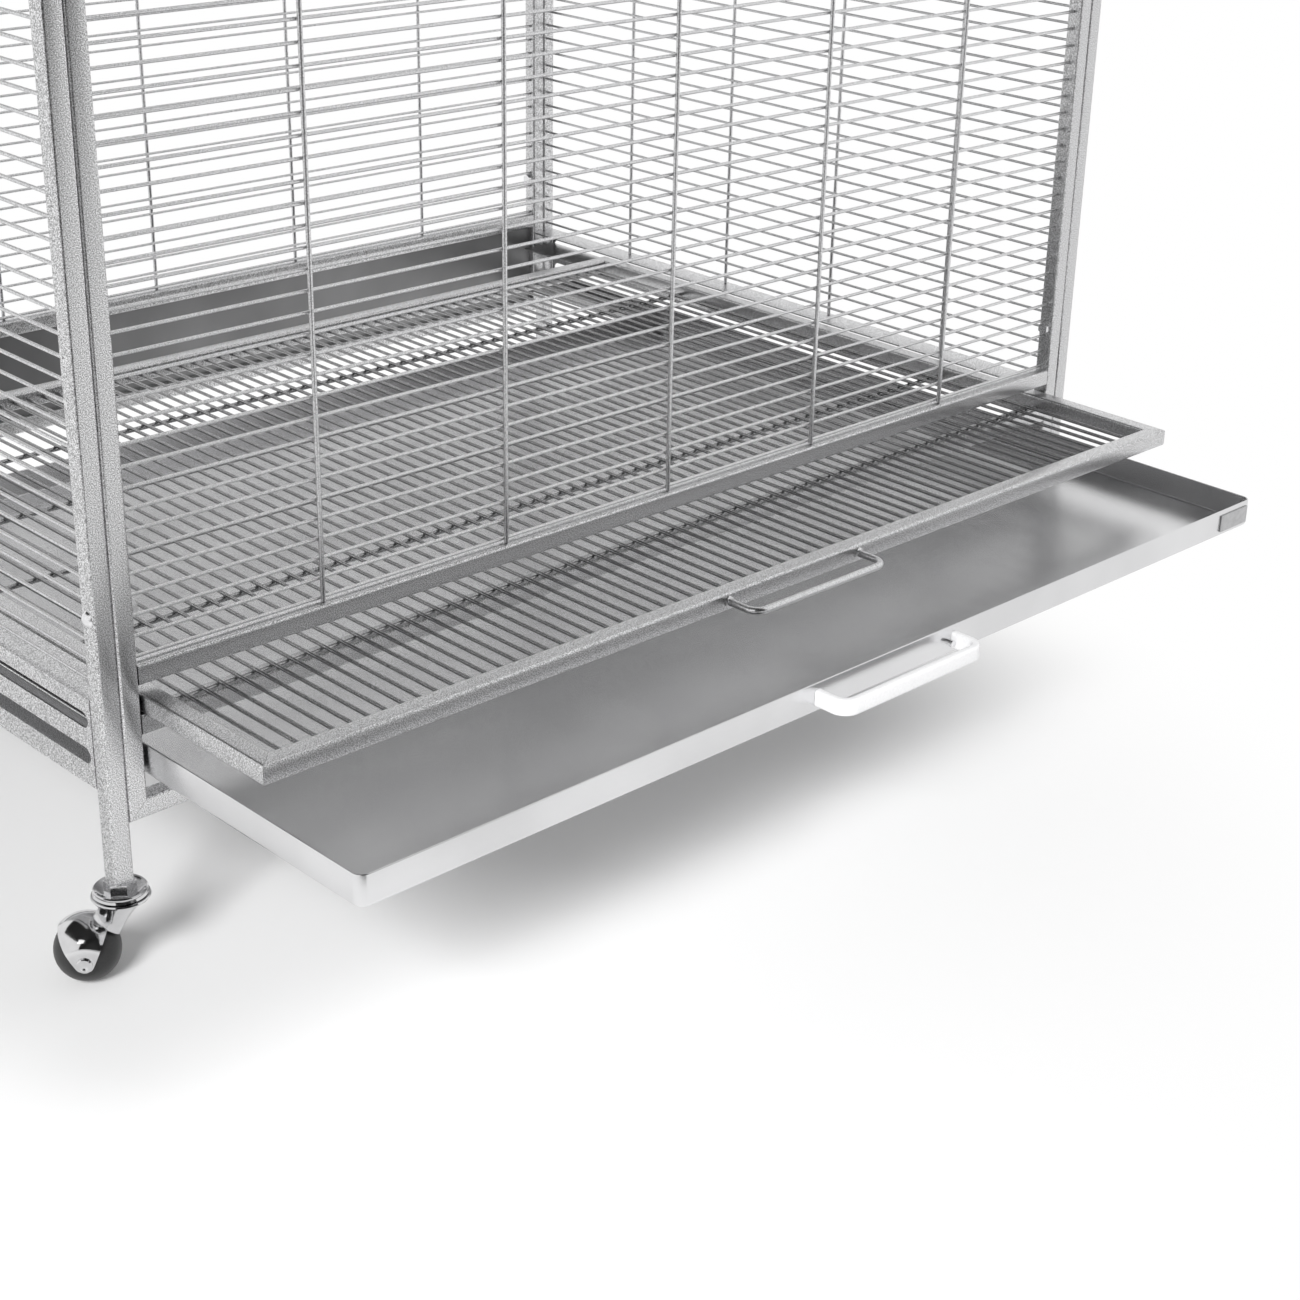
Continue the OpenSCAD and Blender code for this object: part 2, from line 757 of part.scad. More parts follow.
// Axle riveted over at both ends
module caster_axle(c) {
    color(chrome) at_corner(c) translate([trail, 0, wheel_r]) {
        rod_y(2*hood_r + rivet_h, axle_d);
        for (y = [-1, 1]) translate([0, y*(hood_r + rivet_h*half), 0]) rod_y(rivet_h, rivet_d);
    }
}

module caster_wheel(c) {
    color(rubber) at_corner(c) translate([trail, 0, wheel_r]) difference() {
        intersection() {
            sphere(wheel_r, $fn = 72);
            rod_y(2*wheel_r*wheel_width_share, 2*wheel_d);
        }
        rod_y(2*wheel_d, axle_d + 2*play);
    }
}

left_side_frame();
right_side_frame();
left_side_mesh();
right_side_mesh();
left_side_plate();
right_side_plate();
left_runners();
right_runners();
front_frame();
front_mesh();
back_frame();
back_mesh();
back_skirt();
roof_frame();
roof_mesh();
frame_bolts();
frame_nuts();
roof_bolts();
grate_frame();
grate_wires();
grate_stiffeners();
grate_handle();
tray_pan();
tray_handle();
tray_screws();
tray_corner_plate();
left_door_frame();
left_door_mesh();
left_door_leaves();
right_door_frame();
right_door_mesh();
right_door_leaves();
hinge_leaves();
hinge_pins();
latch_lever();
latch_pivot();
latch_keeper();
caster_inserts();
caster_stems();
caster_nuts();
caster_cups();
for (c = corners) {
    caster_hood(c);
    caster_axle(c);
    caster_wheel(c);
}
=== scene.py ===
import json
import math

import bmesh
import bpy
from mathutils import Matrix, Vector


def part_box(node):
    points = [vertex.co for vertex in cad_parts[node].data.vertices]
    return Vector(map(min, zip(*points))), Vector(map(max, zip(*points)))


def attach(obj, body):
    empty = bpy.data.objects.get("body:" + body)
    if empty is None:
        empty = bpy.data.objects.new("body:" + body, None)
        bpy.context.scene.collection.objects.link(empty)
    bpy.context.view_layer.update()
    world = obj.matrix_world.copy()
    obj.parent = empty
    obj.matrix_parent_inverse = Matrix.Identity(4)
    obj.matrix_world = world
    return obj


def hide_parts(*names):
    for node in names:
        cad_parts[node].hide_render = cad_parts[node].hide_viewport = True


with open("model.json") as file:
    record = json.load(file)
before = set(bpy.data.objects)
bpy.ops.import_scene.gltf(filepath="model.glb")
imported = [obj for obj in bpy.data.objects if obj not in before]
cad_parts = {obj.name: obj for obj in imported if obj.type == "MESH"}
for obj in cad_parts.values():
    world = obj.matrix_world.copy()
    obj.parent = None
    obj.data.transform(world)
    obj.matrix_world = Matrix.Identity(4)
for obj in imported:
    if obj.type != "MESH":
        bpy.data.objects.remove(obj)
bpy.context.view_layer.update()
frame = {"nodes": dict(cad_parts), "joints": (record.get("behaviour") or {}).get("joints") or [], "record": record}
NODES = frame["nodes"]
BODY_OF = {n: body for body, names in frame["record"]["behaviour"]["bodies"].items() for n in names}
SLOT_OF = {s["node"]: s["material_slot"] for s in frame["record"]["subparts"]}

# Lengths in metres
MM = 0.001
MATCH = 0.02 * MM
TUBE_CORNER_R = 1.8 * MM
TUBE_CORNER_STEPS = 4
WIRE_SIDES = 14
SHEET_EDGE = 0.35 * MM
FASTENER_EDGE = 0.3 * MM
WELD_NUGGET = 1.5 * MM
TOUCH = 0.2 * MM
BEND_STEPS = 10
SHARP_ANGLE = math.radians(38)
FLAT_ANGLE = math.radians(1)
EDGE_ANGLE = math.radians(40)

# Photograph's camera: a square frame of this many pixels
FRAME_PX = 1300
FOCAL_PX = 2316.61
CENTRE_PX = (727.12, 613.91)
SENSOR_MM = 36
CAMERA_AT = Vector((-1039.01, -1373.44, 768.77)) * MM
CAMERA_YAW = math.radians(46.17)
CAMERA_PITCH = math.radians(24.02)
CAMERA_ROLL = math.radians(-2.1)


# Mesh helpers

def solids(node):
    """The corner points of each separate solid of a CAD node."""
    mesh = NODES[node].data
    keys = [tuple(round(c / MATCH) for c in v.co) for v in mesh.vertices]
    place = {k: v.co.copy() for k, v in zip(keys, mesh.vertices)}
    parent = {k: k for k in place}

    def root(key):
        while parent[key] != key:
            parent[key] = parent[parent[key]]
            key = parent[key]
        return key

    for polygon in mesh.polygons:
        first = root(keys[polygon.vertices[0]])
        for v in polygon.vertices[1:]:
            parent[root(keys[v])] = first
    groups = {}
    for key in place:
        groups.setdefault(root(key), []).append(place[key])
    return list(groups.values())


def corners(points):
    """Lowest and highest corner of a set of points."""
    low = Vector([min(p[i] for p in points) for i in range(3)])
    high = Vector([max(p[i] for p in points) for i in range(3)])
    return low, high


def axes_of(low, high):
    """A long solid's own axis and the two axes across it."""
    size = high - low
    axis = max(range(3), key=lambda i: size[i])
    return axis, (axis + 1) % 3, (axis + 2) % 3


def add_rings(bm, rings):
    """Skins a row of equal rings of points, and caps its ends."""
    made = [[bm.verts.new(p) for p in ring] for ring in rings]
    count = len(made[0])
    for a, b in zip(made, made[1:]):
        for i in range(count):
            j = (i + 1) % count
            bm.faces.new((a[i], a[j], b[j], b[i]))
    bm.faces.new(made[0])
    bm.faces.new(made[-1])


def rounded_square(corner_share, steps):
    """Outline of a unit square with round corners."""
    points = []
    for k, (cx, cy) in enumerate(((1, 1), (0, 1), (0, 0), (1, 0))):
        mx = cx + corner_share * (1 - 2 * cx)
        my = cy + corner_share * (1 - 2 * cy)
        for i in range(steps + 1):
            angle = math.radians(90 * (k + i / steps))
            points.append((mx + corner_share * math.cos(angle), my + corner_share * math.sin(angle)))
    return points


def add_square_bar(bm, points):
    """Square tube in a CAD bar's place, with drawn corners and the bar's own mitred ends."""
    low, high = corners(points)
    axis, a, b = axes_of(low, high)
    ends = {}
    for ca in (0, 1):
        for cb in (0, 1):
            at_a = (low, high)[ca][a]
            at_b = (low, high)[cb][b]
            edge = [p[axis] for p in points if abs(p[a] - at_a) < MATCH and abs(p[b] - at_b) < MATCH]
            ends[ca, cb] = (min(edge), max(edge))
    share = TUBE_CORNER_R / (high[a] - low[a])
    rings = []
    for end in (0, 1):
        ring = []
        for u, v in rounded_square(share, TUBE_CORNER_STEPS):
            point = Vector((0, 0, 0))
            point[a] = low[a] + u * (high[a] - low[a])
            point[b] = low[b] + v * (high[b] - low[b])
            near = (1 - v) * ends[0, 0][end] + v * ends[0, 1][end]
            far = (1 - v) * ends[1, 0][end] + v * ends[1, 1][end]
            point[axis] = (1 - u) * near + u * far
            ring.append(point)
        rings.append(ring)
    add_rings(bm, rings)


def add_rod(bm, low, high):
    """Round wire that fills a CAD wire's box, with softly cropped ends."""
    axis, a, b = axes_of(low, high)
    radius = max(high[a] - low[a], high[b] - low[b]) / 2
    middle = (low + high) / 2
    crop = radius / 4
    rings = []
    for along, r in ((low[axis], radius - crop), (low[axis] + crop, radius),
                     (high[axis] - crop, radius), (high[axis], radius - crop)):
        ring = []
        for i in range(WIRE_SIDES):
            angle = math.tau * i / WIRE_SIDES
            point = middle.copy()
            point[axis] = along
            point[a] += r * math.cos(angle)
            point[b] += r * math.sin(angle)
            ring.append(point)
        rings.append(ring)
    add_rings(bm, rings)


def add_blob(bm, centre, size):
    """Small round lump, such as a spot weld's nugget."""
    matrix = Matrix.Translation(centre) @ Matrix.Diagonal((*size, 1))
    bmesh.ops.create_icosphere(bm, subdivisions=1, radius=1, matrix=matrix)


def add_sweep(bm, path, outline):
    """Sweeps an outline of (across, up) points along a level path."""
    rings = []
    for i, at in enumerate(path):
        ahead = path[min(i + 1, len(path) - 1)]
        behind = path[max(i - 1, 0)]
        along = (ahead - behind).normalized()
        across = along.cross(Vector((0, 0, 1)))
        rings.append([at + across * s + Vector((0, 0, t)) for s, t in outline])
    add_rings(bm, rings)


def bow_path(half_length, y_wall, y_out, z, radius):
    """Level path out of a wall, along it and back, with round bends."""
    path = [Vector((-half_length, y_wall, z))]
    for side, start in ((-1, 180), (1, 270)):
        middle = Vector((side * (half_length - radius), y_out + radius, z))
        for i in range(BEND_STEPS + 1):
            angle = math.radians(start + 90 * i / BEND_STEPS)
            path.append(middle + radius * Vector((math.cos(angle), math.sin(angle), 0)))
    path.append(Vector((half_length, y_wall, z)))
    return path


def circle(radius, sides):
    """Points round a circle."""
    turns = [math.tau * i / sides for i in range(sides)]
    return [(radius * math.cos(t), radius * math.sin(t)) for t in turns]


def make_piece(name, bm, material, body, stands_for):
    """Turns a bmesh into a piece that rides on a body, in place of CAD nodes."""
    bmesh.ops.recalc_face_normals(bm, faces=bm.faces)
    mesh = bpy.data.meshes.new(name)
    bm.to_mesh(mesh)
    bm.free()
    mesh.shade_smooth()
    mesh.set_sharp_from_angle(angle=SHARP_ANGLE)
    mesh.materials.append(material)
    piece = bpy.data.objects.new(name, mesh)
    bpy.context.scene.collection.objects.link(piece)
    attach(piece, body)
    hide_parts(*stands_for)


# Materials

BLUE_SHARE = 1.01
GRAIN_DEPTH = 0.15 * MM
PEEL_DEPTH = 0.12 * MM
MOULD_DEPTH = 0.08 * MM
TONE_CELLS = 9
PEEL_CELLS = 900


def new_material(name):
    """A new material with its node tree, links and main shader."""
    material = bpy.data.materials.new(name)
    material.use_nodes = True
    nodes = material.node_tree.nodes
    return material, nodes, material.node_tree.links, nodes["Principled BSDF"]


def add_noise(nodes, links, scale, detail):
    """Noise in the part's own frame, in cells per metre."""
    place = nodes.new("ShaderNodeTexCoord")
    noise = nodes.new("ShaderNodeTexNoise")
    noise.inputs["Scale"].default_value = scale
    noise.inputs["Detail"].default_value = detail
    links.new(place.outputs["Object"], noise.inputs["Vector"])
    return noise.outputs["Fac"]


def add_ramp(nodes, links, source, stops):
    """Turns a value into a colour by (position, colour) stops."""
    ramp = nodes.new("ShaderNodeValToRGB")
    links.new(source, ramp.inputs["Fac"])
    for i, (at, colour) in enumerate(stops):
        stop = ramp.color_ramp.elements[i] if i < 2 else ramp.color_ramp.elements.new(at)
        stop.position = at
        stop.color = (*colour, 1)
    return ramp.outputs["Color"]


def add_bump(nodes, links, height, strength, distance, shader):
    """Bends the shader's normals by a height."""
    bump = nodes.new("ShaderNodeBump")
    bump.inputs["Strength"].default_value = strength
    bump.inputs["Distance"].default_value = distance
    links.new(height, bump.inputs["Height"])
    links.new(bump.outputs["Normal"], shader.inputs["Normal"])


def grey(value):
    """Nearly neutral grey, a trace blue."""
    return (value, value, value * BLUE_SHARE)


def hammertone(name, dark, mid, light, rough, cells=1700, dimple=0.2):
    """Silver powder coat with a fine dark and light speckle and a dimpled skin."""
    material, nodes, links, shader = new_material(name)
    speck = add_noise(nodes, links, cells, detail=1)
    stops = ((0.36, grey(dark)), (0.64, grey(light)), (0.5, grey(mid)))
    links.new(add_ramp(nodes, links, speck, stops), shader.inputs["Base Color"])
    shader.inputs["Metallic"].default_value = 1
    shader.inputs["Roughness"].default_value = rough
    add_bump(nodes, links, speck, dimple, GRAIN_DEPTH, shader)
    return material


def satin_metal(name, low, high, rough, bump_strength):
    """Smooth satin coat with a slight orange peel and slow changes of tone."""
    material, nodes, links, shader = new_material(name)
    tone = add_noise(nodes, links, TONE_CELLS, detail=3)
    stops = ((0.35, grey(low)), (0.65, grey(high)))
    links.new(add_ramp(nodes, links, tone, stops), shader.inputs["Base Color"])
    peel = add_noise(nodes, links, PEEL_CELLS, detail=1)
    shader.inputs["Metallic"].default_value = 1
    shader.inputs["Roughness"].default_value = rough
    add_bump(nodes, links, peel, bump_strength, PEEL_DEPTH, shader)
    return material


def polished(name, low, high, rough_low, rough_high, cells):
    """Bare or plated metal whose gloss changes with fine smears."""
    material, nodes, links, shader = new_material(name)
    smear = add_noise(nodes, links, cells, detail=4)
    colour = add_ramp(nodes, links, smear, ((0.3, grey(low)), (0.7, grey(high))))
    links.new(colour, shader.inputs["Base Color"])
    gloss = add_ramp(nodes, links, smear, ((0.3, grey(rough_low)), (0.7, grey(rough_high))))
    links.new(gloss, shader.inputs["Roughness"])
    shader.inputs["Metallic"].default_value = 1
    return material


def moulded(name, low, high, rough, cells, bump_strength):
    """Moulded plastic or rubber with a fine grain."""
    material, nodes, links, shader = new_material(name)
    grain = add_noise(nodes, links, cells, detail=3)
    colour = add_ramp(nodes, links, grain, ((0.3, grey(low)), (0.7, grey(high))))
    links.new(colour, shader.inputs["Base Color"])
    shader.inputs["Roughness"].default_value = rough
    add_bump(nodes, links, grain, bump_strength, MOULD_DEPTH, shader)
    return material


FINISH = {
    "frame": hammertone("frame_hammertone", 0.22, 0.60, 0.95, 0.30),
    "wire": hammertone("wire_hammertone", 0.46, 0.66, 0.86, 0.28, dimple=0.1),
    "tray": satin_metal("tray_satin", 0.68, 0.76, 0.24, 0.18),
    "plate": polished("plain_plate", 0.42, 0.55, 0.32, 0.45, 260),
    "chrome": polished("caster_chrome", 0.62, 0.70, 0.08, 0.16, 120),
    "zinc": polished("zinc_plate", 0.74, 0.88, 0.16, 0.28, 500),
    "handle": moulded("white_plastic", 0.80, 0.86, 0.32, 600, 0.08),
    "wheel": moulded("black_wheel", 0.012, 0.020, 0.42, 700, 0.15),
    "insert": moulded("black_insert", 0.016, 0.026, 0.55, 700, 0.15),
}

# The grate's wires and stiffeners share a darker copy of the wire coat: painted shade for the shadowed tray and
# dark surroundings they mirror.
GRATE_WIRE_PAINTED_SHADE = hammertone("grate_wire", 0.22, 0.36, 0.56, 0.26, dimple=0.1)
NODE_FINISH_AND_PAINTED_SHADE = {
    # The back skirt's smooth satin coat is real; its low grey is painted shade for the dark cage interior it
    # mirrors.
    "back_skirt": satin_metal("skirt_satin_painted_shade", 0.20, 0.27, 0.34, 0.15),
    "grate_wires": GRATE_WIRE_PAINTED_SHADE,
    "grate_stiffeners": GRATE_WIRE_PAINTED_SHADE,
}


def finish_of(node):
    """A node's own finish, with painted shade on the back skirt and the grate's wires, or else that of its slot.
    """
    return NODE_FINISH_AND_PAINTED_SHADE.get(node, FINISH[SLOT_OF[node]])


def paint(node, edge=0):
    """Gives a shown CAD node its finish, and breaks its edges where edge is given."""
    shown = NODES[node]
    shown.data.materials.clear()
    shown.data.materials.append(finish_of(node))
    if not edge:
        return
    normals = shown.data.attributes.get("custom_normal")
    if normals:
        shown.data.attributes.remove(normals)
    shown.data.shade_smooth()
    weld = shown.modifiers.new("weld", "WELD")
    weld.merge_threshold = MATCH / 2
    flat = shown.modifiers.new("flat", "DECIMATE")
    flat.decimate_type = "DISSOLVE"
    flat.angle_limit = FLAT_ANGLE
    broken = shown.modifiers.new("broken_edge", "BEVEL")
    broken.width = edge
    broken.segments = 2
    broken.limit_method = "ANGLE"
    broken.angle_limit = EDGE_ANGLE
    broken.harden_normals = True


# Square tube frames

TUBE_NODES = ("left_side_frame", "right_side_frame", "front_frame", "back_frame", "roof_frame",
              "grate_frame", "left_door_frame", "right_door_frame")
for tube_node in TUBE_NODES:
    bm = bmesh.new()
    for points in solids(tube_node):
        add_square_bar(bm, points)
    make_piece(tube_node + "_tubes", bm, finish_of(tube_node), BODY_OF[tube_node], (tube_node,))


# Wire panels, with a nugget at each crossing

def crossings(boxes):
    """Middles of the places where the thin wires of a panel lie against its cross wires."""
    found = []
    lines = [(low, high, axes_of(low, high)[0]) for low, high in boxes]
    for i, (low_a, high_a, axis_a) in enumerate(lines):
        for low_b, high_b, axis_b in lines[i + 1:]:
            if axis_a == axis_b:
                continue
            low = Vector(map(max, low_a, low_b))
            high = Vector(map(min, high_a, high_b))
            if all(high[k] - low[k] > -TOUCH for k in range(3)):
                found.append((low + high) / 2)
    return found


WIRE_NODES = ("left_side_mesh", "right_side_mesh", "front_mesh", "back_mesh", "roof_mesh",
              "left_door_mesh", "right_door_mesh")


def make_wires(name, nodes):
    """One piece of round wires for the wires of some CAD nodes."""
    bm = bmesh.new()
    boxes = [corners(points) for node in nodes for points in solids(node)]
    for low, high in boxes:
        add_rod(bm, low, high)
    for at in crossings(boxes):
        add_blob(bm, at, (WELD_NUGGET,) * 3)
    make_piece(name, bm, finish_of(nodes[0]), BODY_OF[nodes[0]], nodes)


for wire_node in WIRE_NODES:
    make_wires(wire_node + "_wires", (wire_node,))
make_wires("grate_grid", ("grate_wires", "grate_stiffeners"))


# Grate's bent wire handle, welded to the front bar

PULL_BEND_R = 9 * MM
FOOT_WELD = Vector((4.6, 1.6, 4.2)) * MM
low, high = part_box("grate_handle")
pull_r = (high.z - low.z) / 2
pull_z = (low.z + high.z) / 2
pull_half = high.x - pull_r
bm = bmesh.new()
pull = bow_path(pull_half, high.y, low.y + pull_r, pull_z, PULL_BEND_R)
add_sweep(bm, pull, circle(pull_r, WIRE_SIDES))
for side in (-1, 1):
    add_blob(bm, Vector((side * pull_half, high.y, pull_z)), FOOT_WELD)
make_piece("grate_pull", bm, finish_of("grate_handle"), "grate", ("grate_handle",))


# Tray pan, folded from sheet

SHEET = 1.2 * MM
TRAY_CORNER_R = 6.5 * MM
TRAY_FOLD_R = 2.4 * MM
LEAST_CORNER_R = 0.4 * MM
CORNER_STEPS = 8
FOLD_STEPS = 5


def tray_outline(low, high, inset, z):
    """Round-cornered rectangle, drawn in by inset from the tray's box."""
    r = max(TRAY_CORNER_R - inset, LEAST_CORNER_R)
    x0, x1 = low.x + inset + r, high.x - inset - r
    y0, y1 = low.y + inset + r, high.y - inset - r
    ring = []
    for k, (x, y) in enumerate(((x1, y1), (x0, y1), (x0, y0), (x1, y0))):
        for i in range(CORNER_STEPS + 1):
            angle = math.radians(90 * (k + i / CORNER_STEPS))
            ring.append(Vector((x + r * math.cos(angle), y + r * math.sin(angle), z)))
    return ring


def fold(inset, z, radius, start, turn):
    """Points round a fold, in the plane of inset and height."""
    angles = [math.radians(start + turn * i / FOLD_STEPS) for i in range(FOLD_STEPS + 1)]
    return [(inset + radius * math.cos(t), z + radius * math.sin(t)) for t in angles]


low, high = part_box("tray_pan")
rim_r = SHEET / 2
fold_z = low.z + TRAY_FOLD_R
section = fold(TRAY_FOLD_R, fold_z, TRAY_FOLD_R, 270, -90)
section += fold(rim_r, high.z - rim_r, rim_r, 180, -180)
section += fold(TRAY_FOLD_R, fold_z, TRAY_FOLD_R - SHEET, 180, 90)
bm = bmesh.new()
add_rings(bm, [tray_outline(low, high, inset, z) for inset, z in section])
make_piece("tray_sheet", bm, finish_of("tray_pan"), "tray", ("tray_pan",))


# White bow handle of the tray

BOW_EDGE_SHARE = 0.22
BOW_THICK = 6 * MM
BOW_CORNER_R = 12 * MM
low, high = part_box("tray_handle")
bow_h = high.z - low.z
outline = [((u - 0.5) * BOW_THICK, (v - 0.5) * bow_h)
           for u, v in rounded_square(BOW_EDGE_SHARE, TUBE_CORNER_STEPS)]
bm = bmesh.new()
bow_half = BOW_THICK / 2
bow_z = (low.z + high.z) / 2
bow = bow_path(high.x - bow_half, high.y, low.y + bow_half, bow_z, BOW_CORNER_R - bow_half)
add_sweep(bm, bow, outline)
make_piece("tray_bow", bm, finish_of("tray_handle"), "tray", ("tray_handle",))


# Casters: a pressed hood over a ball wheel, on a flared neck under a dished raceway

CORNERS = ("fl", "fr", "bl", "br")
JOINTS = {joint["name"]: joint for joint in frame["joints"]}
WHEEL_R = 19.75 * MM
WHEEL_HALF = 18.1 * MM
AXLE_R = 2.5 * MM
HOOD_R = 22.25 * MM
HOOD_T = 1.3 * MM
EAR_R = 5.7 * MM
EAR_FLAT = 19.9 * MM
EAR_BLEND = 3 * MM
TRAIL_LEAN = math.radians(31)
NECK_LEAN = math.radians(23)
EAR_TRIM = 0.998
HOOD_ROWS = 60
HOOD_COLUMNS = 18
HALVINGS = 30
TURN_SIDES = 48
BALL_STEPS = 20
HUB_GAP = 0.1 * MM
NECK_FOOT = 9 * MM
NECK_FOOT_AT = -12 * MM
NECK_FOOT_R = 7.6 * MM
NECK_TOP_R = 14.5 * MM
NECK_FLARE = 2.2
NECK_STEPS = 7
CUP_R = 16.3 * MM
CUP_TOP_R = 15.3 * MM
CUP_FLOOR_R = 9.8 * MM
DISH_SHARE = 0.28
PLATE_R = 17.5 * MM
PLATE_T = 2.6 * MM
PLATE_GAP = 0.3 * MM
# Rivet's head, as radius and height over the ear in millimetres
RIVET_HEAD = ((0.4, 0.5), (2.0, 0.6), (3.0, 1.3), (4.0, 1.3), (4.7, 0.6), (4.75, -0.1))
UP = Vector((0, 0, 1))


def hood_edge(z, lean):
    """Distance of the hood's cut edge from the axle's plane, at a height above the axle."""
    touch = -EAR_R * math.sin(lean)
    if z < touch:
        return math.sqrt(max(EAR_R ** 2 - z ** 2, 0))
    return EAR_R * math.cos(lean) + (z - touch) * math.tan(lean)


def hood_reach(theta, lean):
    """Where the cut edge meets the ball of the hood, at an angle round the axle's own plane."""
    near, far = 0, HOOD_R
    for _ in range(HALVINGS):
        x = (near + far) / 2
        if x < hood_edge(math.sqrt(HOOD_R ** 2 - x ** 2) * math.cos(theta), lean):
            near = x
        else:
            far = x
    return near


def soft_limit(value, limit):
    """The smaller of two positive lengths, with a round change between them."""
    share = min(max(0.5 + 0.5 * (limit - value) / EAR_BLEND, 0), 1)
    return share * value + (1 - share) * limit - EAR_BLEND * share * (1 - share)


def hood_sheet(place, radius, flat):
    """Rows of points over the hood from ear to ear, with the ears pressed flat."""
    last = math.acos(-EAR_R / HOOD_R) * EAR_TRIM
    rows = []
    for i in range(HOOD_ROWS + 1):
        theta = last * (2 * i / HOOD_ROWS - 1)
        x_neck = -hood_reach(theta, NECK_LEAN)
        x_trail = hood_reach(theta, TRAIL_LEAN)
        row = []
        for j in range(HOOD_COLUMNS + 1):
            x = x_neck + (x_trail - x_neck) * j / HOOD_COLUMNS
            ball = math.sqrt(radius ** 2 - x ** 2)
            y = math.copysign(soft_limit(abs(ball * math.sin(theta)), flat), theta)
            row.append(place @ Vector((x, y, ball * math.cos(theta))))
        rows.append(row)
    return rows


def add_shell(bm, outer, inner):
    """Closed sheet between two grids of points."""
    grids = [[[bm.verts.new(p) for p in row] for row in grid] for grid in (outer, inner)]
    rows, columns = len(outer) - 1, len(outer[0]) - 1
    for grid in grids:
        for i in range(rows):
            for j in range(columns):
                bm.faces.new((grid[i][j], grid[i + 1][j], grid[i + 1][j + 1], grid[i][j + 1]))
    rim = [(i, 0) for i in range(rows)] + [(rows, j) for j in range(columns)]
    rim += [(i, columns) for i in range(rows, 0, -1)] + [(0, j) for j in range(columns, 0, -1)]
    for (i, j), (k, m) in zip(rim, rim[1:] + rim[:1]):
        bm.faces.new((grids[0][i][j], grids[0][k][m], grids[1][k][m], grids[1][i][j]))


def add_turned(bm, place, profile):
    """Turns a profile of (radius, height) points round an axis."""
    rings = []
    for radius, height in profile:
        rings.append([place @ Vector((x, y, height)) for x, y in circle(radius, TURN_SIDES)])
    add_rings(bm, rings)


def add_neck(bm, place, trail, top_z):
    """Neck that flares from the hood's back up to the swivel plate."""
    rings = []
    for i in range(NECK_STEPS + 1):
        share = i / NECK_STEPS
        radius = NECK_FOOT_R + (NECK_TOP_R - NECK_FOOT_R) * share ** NECK_FLARE
        middle = NECK_FOOT_AT + (-trail - NECK_FOOT_AT) * share
        ring = []
        for x, y in circle(radius, TURN_SIDES):
            inside = (HOOD_R - HOOD_T / 2) ** 2 - (middle + x) ** 2 - y ** 2
            ball = math.sqrt(max(inside, NECK_FOOT ** 2))
            ring.append(place @ Vector((middle + x, y, ball + (top_z - ball) * share)))
        rings.append(ring)
    add_rings(bm, rings)


cup_low, cup_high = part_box("caster_cups")
cup_h = cup_high.z - cup_low.z
lip = cup_h / 6
dish_z = cup_low.z + DISH_SHARE * cup_h
plate_top = cup_low.z - PLATE_GAP
plate_low = plate_top - PLATE_T
edge = PLATE_T / 3
cups = bmesh.new()
for corner in CORNERS:
    roll = JOINTS["roll_" + corner]
    centre, axle = Vector(roll["pos_m"]), Vector(roll["axis"])
    swivel = Vector(JOINTS["swivel_" + corner]["pos_m"])
    offset = Vector((centre.x - swivel.x, centre.y - swivel.y, 0))
    trail_way = offset.normalized()
    place = Matrix.Translation(centre) @ Matrix((trail_way, axle, UP)).transposed().to_4x4()
    along_axle = Matrix.Translation(centre) @ Matrix((trail_way, -UP, axle)).transposed().to_4x4()
    upright = Matrix.Translation(Vector((swivel.x, swivel.y, 0)))
    chrome = finish_of("caster_hood_" + corner)

    bm = bmesh.new()
    inner = hood_sheet(place, HOOD_R - HOOD_T, EAR_FLAT - HOOD_T)
    add_shell(bm, hood_sheet(place, HOOD_R, EAR_FLAT), inner)
    add_neck(bm, place, offset.length, plate_low - centre.z)
    add_turned(bm, upright, (
        (PLATE_R - 3 * edge, plate_low), (PLATE_R - edge, plate_low + edge / 2),
        (PLATE_R, plate_low + 2 * edge), (PLATE_R - edge / 2, plate_top), (AXLE_R * 2, plate_top)))
    make_piece("caster_shell_" + corner, bm, chrome, "swivel_" + corner, ("caster_hood_" + corner,))

    bm = bmesh.new()
    add_turned(bm, along_axle, ((AXLE_R, -EAR_FLAT), (AXLE_R, EAR_FLAT)))
    for side in (-1, 1):
        add_turned(bm, along_axle, [(r * MM, side * (EAR_FLAT + h * MM)) for r, h in RIVET_HEAD])
    make_piece("caster_rivet_" + corner, bm, chrome, "swivel_" + corner, ("caster_axle_" + corner,))

    bm = bmesh.new()
    tread = math.acos(WHEEL_HALF / WHEEL_R)
    turns = [tread + (math.pi - 2 * tread) * i / BALL_STEPS for i in range(BALL_STEPS + 1)]
    ball = [(WHEEL_R * math.sin(t), WHEEL_R * math.cos(t)) for t in turns]
    hub = AXLE_R + HUB_GAP
    add_turned(bm, along_axle, [(hub, WHEEL_HALF)] + ball + [(hub, -WHEEL_HALF)])
    make_piece("caster_ball_" + corner, bm, finish_of("caster_wheel_" + corner), "wheel_" + corner,
               ("caster_wheel_" + corner,))

    add_turned(cups, upright, (
        (CUP_R - lip, cup_low.z), (CUP_R, cup_low.z + lip), (CUP_R - lip, cup_low.z + cup_h / 2),
        (CUP_TOP_R + lip, cup_high.z - lip), (CUP_TOP_R, cup_high.z),
        (CUP_TOP_R - 2 * lip, cup_high.z - lip), (CUP_FLOOR_R + lip, dish_z), (CUP_FLOOR_R, dish_z)))
make_piece("caster_raceways", cups, finish_of("caster_cups"), "cage", ("caster_cups",))


# CAD nodes that stay as they are, with their finish

